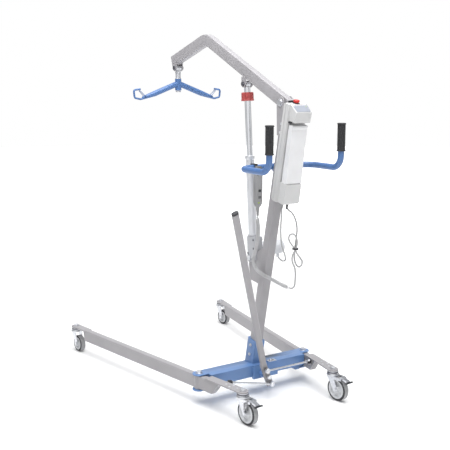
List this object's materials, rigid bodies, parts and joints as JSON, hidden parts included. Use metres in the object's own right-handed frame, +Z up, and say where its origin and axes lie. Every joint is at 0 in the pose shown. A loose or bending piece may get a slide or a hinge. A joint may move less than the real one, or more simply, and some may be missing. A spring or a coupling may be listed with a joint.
{
  "type": "patient lift hoist",
  "caption": "Mobile patient lift with spreading wheeled legs, leaning mast, actuator-raised boom, swivelling sling bar, battery control box and corded handset.",
  "frame": {"origin": "on the floor under the middle of the lift's box", "axes": "+X forward to the open end of the legs, +Y the lift's left, +Z up"},
  "size_m": [1.322, 0.9152, 1.5381],
  "materials": {
    "frame_grey": "silver-grey powder coat",
    "frame_blue": "blue powder coat",
    "zinc": "zinc plated",
    "chrome": "polished",
    "tube_aluminium": "anodised satin",
    "black_plastic": "fine grain",
    "housing_plastic": "fine grain",
    "battery_plastic": "fine grain",
    "handset_plastic": "fine grain",
    "red_plastic": "moulded",
    "grip_foam": "matt foam rubber",
    "tread_rubber": "light grey non-marking tread",
    "hub_plastic": "moulded",
    "cord_sheath": "light grey sheath",
    "board": "circuit board"
  },
  "bodies": {
    "base": {"base_frame": "frame_blue", "leg_pivot_bolts": "zinc", "lever_bracket": "zinc", "lever_pivot_bolt": "zinc", "mast": "frame_grey", "mast_head": "frame_grey", "frame_screws": "zinc", "boom_pivot_bolt": "zinc", "actuator_bracket": "frame_grey", "handlebar": "frame_blue", "grip_left": "grip_foam", "grip_right": "grip_foam", "control_box": "housing_plastic", "control_board": "board", "cable_glands": "black_plastic", "motor_cable": "cord_sheath", "handset": "handset_plastic", "handset_relief": "handset_plastic", "handset_cord": "cord_sheath", "handset_coil": "cord_sheath"},
    "battery": {"battery_pack": "battery_plastic"},
    "emergency": {"emergency_button": "red_plastic"},
    "up_button": {"up_button": "black_plastic"},
    "down_button": {"down_button": "black_plastic"},
    "boom": {"boom": "frame_grey", "boom_end_caps": "black_plastic", "hanger_pin": "zinc", "rod_pin": "zinc"},
    "actuator": {"gear_housing": "housing_plastic", "motor": "housing_plastic", "actuator_tube": "tube_aluminium", "actuator_foot_pin": "zinc"},
    "rod": {"rod": "chrome", "rod_eye": "tube_aluminium"},
    "ring": {"lowering_ring": "red_plastic"},
    "hanger": {"hanger": "zinc", "spreader_nut": "zinc"},
    "spreader": {"spreader_bar": "frame_blue"},
    "gate_left": {"hook_gate_left": "chrome"},
    "gate_right": {"hook_gate_right": "chrome"},
    "lever": {"lever": "frame_grey", "lever_cap": "black_plastic"},
    "tie_left": {"tie_rod_left": "zinc"},
    "tie_right": {"tie_rod_right": "zinc"},
    "leg_left": {"leg_left": "frame_grey"},
    "leg_right": {"leg_right": "frame_grey"},
    "rear_fork_left": {"rear_fork_left": "zinc"},
    "rear_wheel_left": {"rear_hub_left": "hub_plastic", "rear_tyre_left": "tread_rubber"},
    "front_fork_left": {"front_fork_left": "zinc"},
    "front_wheel_left": {"front_hub_left": "hub_plastic", "front_tyre_left": "tread_rubber"},
    "pedal_left": {"brake_pedal_left": "black_plastic"},
    "rear_fork_right": {"rear_fork_right": "zinc"},
    "rear_wheel_right": {"rear_hub_right": "hub_plastic", "rear_tyre_right": "tread_rubber"},
    "front_fork_right": {"front_fork_right": "zinc"},
    "front_wheel_right": {"front_hub_right": "hub_plastic", "front_tyre_right": "tread_rubber"},
    "pedal_right": {"brake_pedal_right": "black_plastic"}
  },
  "joints": [
    {"name": "boom_lift", "type": "hinge", "parent": "base", "child": "boom", "pos_m": [-0.507, 0, 1.251], "axis": [0, 1, 0], "range_deg": [0, 48]},
    {"name": "actuator_tilt", "type": "hinge", "parent": "base", "child": "actuator", "pos_m": [-0.298, 0, 0.594], "axis": [0, 1, 0], "range_deg": [-2.1, 0]},
    {"name": "actuator_extend", "type": "slide", "parent": "actuator", "child": "rod", "axis": [-0.0767, 0, -0.9971], "range_m": [0, 0.2224]},
    {"name": "ring_turn", "type": "hinge", "parent": "rod", "child": "ring", "pos_m": [-0.242, 0, 1.322], "axis": [0.0767, 0, 0.9971], "continuous": true},
    {"name": "hanger_swing", "type": "hinge", "parent": "boom", "child": "hanger", "pos_m": [0.336, 0, 1.396], "axis": [0, -1, 0], "range_deg": [-20, 48]},
    {"name": "spreader_swivel", "type": "hinge", "parent": "hanger", "child": "spreader", "pos_m": [0.336, 0, 1.3], "axis": [0, 0, 1], "continuous": true},
    {"name": "gate_left_swing", "type": "hinge", "parent": "spreader", "child": "gate_left", "pos_m": [0.336, 0.18, 1.265], "axis": [-1, 0, 0], "range_deg": [0, 35], "stiffness_Nm_per_rad": 0.05, "springref_deg": -34.38},
    {"name": "gate_right_swing", "type": "hinge", "parent": "spreader", "child": "gate_right", "pos_m": [0.336, -0.18, 1.265], "axis": [1, 0, 0], "range_deg": [0, 35], "stiffness_Nm_per_rad": 0.05, "springref_deg": -34.38},
    {"name": "spread_lever", "type": "hinge", "parent": "base", "child": "lever", "pos_m": [-0.403, 0, 0.095], "axis": [1, 0, 0], "range_deg": [0, 19]},
    {"name": "tie_left_hinge", "type": "hinge", "parent": "lever", "child": "tie_left", "pos_m": [-0.4235, -0.0123, 0.0633], "axis": [1, 0, 0], "range_deg": [-18.6, 0]},
    {"name": "leg_left_spread", "type": "hinge", "parent": "base", "child": "leg_left", "pos_m": [-0.298, 0.275, 0.1], "axis": [0, 0, -1], "range_deg": [0, 6.55]},
    {"name": "tie_right_hinge", "type": "hinge", "parent": "lever", "child": "tie_right", "pos_m": [-0.4235, 0.0123, 0.1267], "axis": [1, 0, 0], "range_deg": [-18.6, 0]},
    {"name": "leg_right_spread", "type": "hinge", "parent": "base", "child": "leg_right", "pos_m": [-0.298, -0.275, 0.1], "axis": [0, 0, 1], "range_deg": [0, 6.55]},
    {"name": "rear_left_swivel", "type": "hinge", "parent": "leg_left", "child": "rear_fork_left", "pos_m": [-0.55937, 0.23126, 0.1], "axis": [0, 0, 1], "continuous": true},
    {"name": "rear_left_spin", "type": "hinge", "parent": "rear_fork_left", "child": "rear_wheel_left", "pos_m": [-0.59119, 0.22792, 0.05], "axis": [-0.1045, 0.9945, 0], "continuous": true},
    {"name": "front_left_swivel", "type": "hinge", "parent": "leg_left", "child": "front_fork_left", "pos_m": [0.63503, 0.43113, 0.1], "axis": [0, 0, 1], "continuous": true},
    {"name": "front_left_spin", "type": "hinge", "parent": "front_fork_left", "child": "front_wheel_left", "pos_m": [0.60917, 0.42842, 0.04], "axis": [-0.1045, 0.9945, 0], "continuous": true},
    {"name": "pedal_left_hinge", "type": "hinge", "parent": "rear_fork_left", "child": "pedal_left", "pos_m": [-0.61307, 0.22562, 0.103], "axis": [-0.1045, 0.9945, 0], "range_deg": [-12, 0]},
    {"name": "rear_right_swivel", "type": "hinge", "parent": "leg_right", "child": "rear_fork_right", "pos_m": [-0.55937, -0.23126, 0.1], "axis": [0, 0, 1], "continuous": true},
    {"name": "rear_right_spin", "type": "hinge", "parent": "rear_fork_right", "child": "rear_wheel_right", "pos_m": [-0.59119, -0.23461, 0.05], "axis": [-0.1045, 0.9945, 0], "continuous": true},
    {"name": "front_right_swivel", "type": "hinge", "parent": "leg_right", "child": "front_fork_right", "pos_m": [0.63503, -0.43113, 0.1], "axis": [0, 0, 1], "continuous": true},
    {"name": "front_right_spin", "type": "hinge", "parent": "front_fork_right", "child": "front_wheel_right", "pos_m": [0.60917, -0.43385, 0.04], "axis": [-0.1045, 0.9945, 0], "continuous": true},
    {"name": "pedal_right_hinge", "type": "hinge", "parent": "rear_fork_right", "child": "pedal_right", "pos_m": [-0.61307, -0.23691, 0.103], "axis": [-0.1045, 0.9945, 0], "range_deg": [-12, 0]},
    {"name": "estop_press", "type": "slide", "parent": "base", "child": "emergency", "axis": [0.2045, 0, -0.9789], "range_m": [0, 0.004], "stiffness_N_per_m": 800, "springref_m": -0.003},
    {"name": "battery_release", "type": "slide", "parent": "base", "child": "battery", "axis": [-0.9789, 0, -0.2045], "range_m": [0, 0.09]},
    {"name": "up_button_press", "type": "slide", "parent": "base", "child": "up_button", "axis": [1, 0, 0], "range_m": [0, 0.0015], "stiffness_N_per_m": 400, "springref_m": -0.001},
    {"name": "down_button_press", "type": "slide", "parent": "base", "child": "down_button", "axis": [1, 0, 0], "range_m": [0, 0.0015], "stiffness_N_per_m": 400, "springref_m": -0.001}
  ],
  "couplings": [
    {"joint": "actuator_tilt", "follows": "boom_lift", "ratio": -0.04209},
    {"joint": "actuator_extend", "follows": "boom_lift", "m_per_rad": 0.26516},
    {"joint": "tie_left_hinge", "follows": "spread_lever", "ratio": -0.9747},
    {"joint": "leg_left_spread", "follows": "spread_lever", "ratio": 0.3443},
    {"joint": "tie_right_hinge", "follows": "spread_lever", "ratio": -0.9747},
    {"joint": "leg_right_spread", "follows": "spread_lever", "ratio": 0.3443}
  ]
}
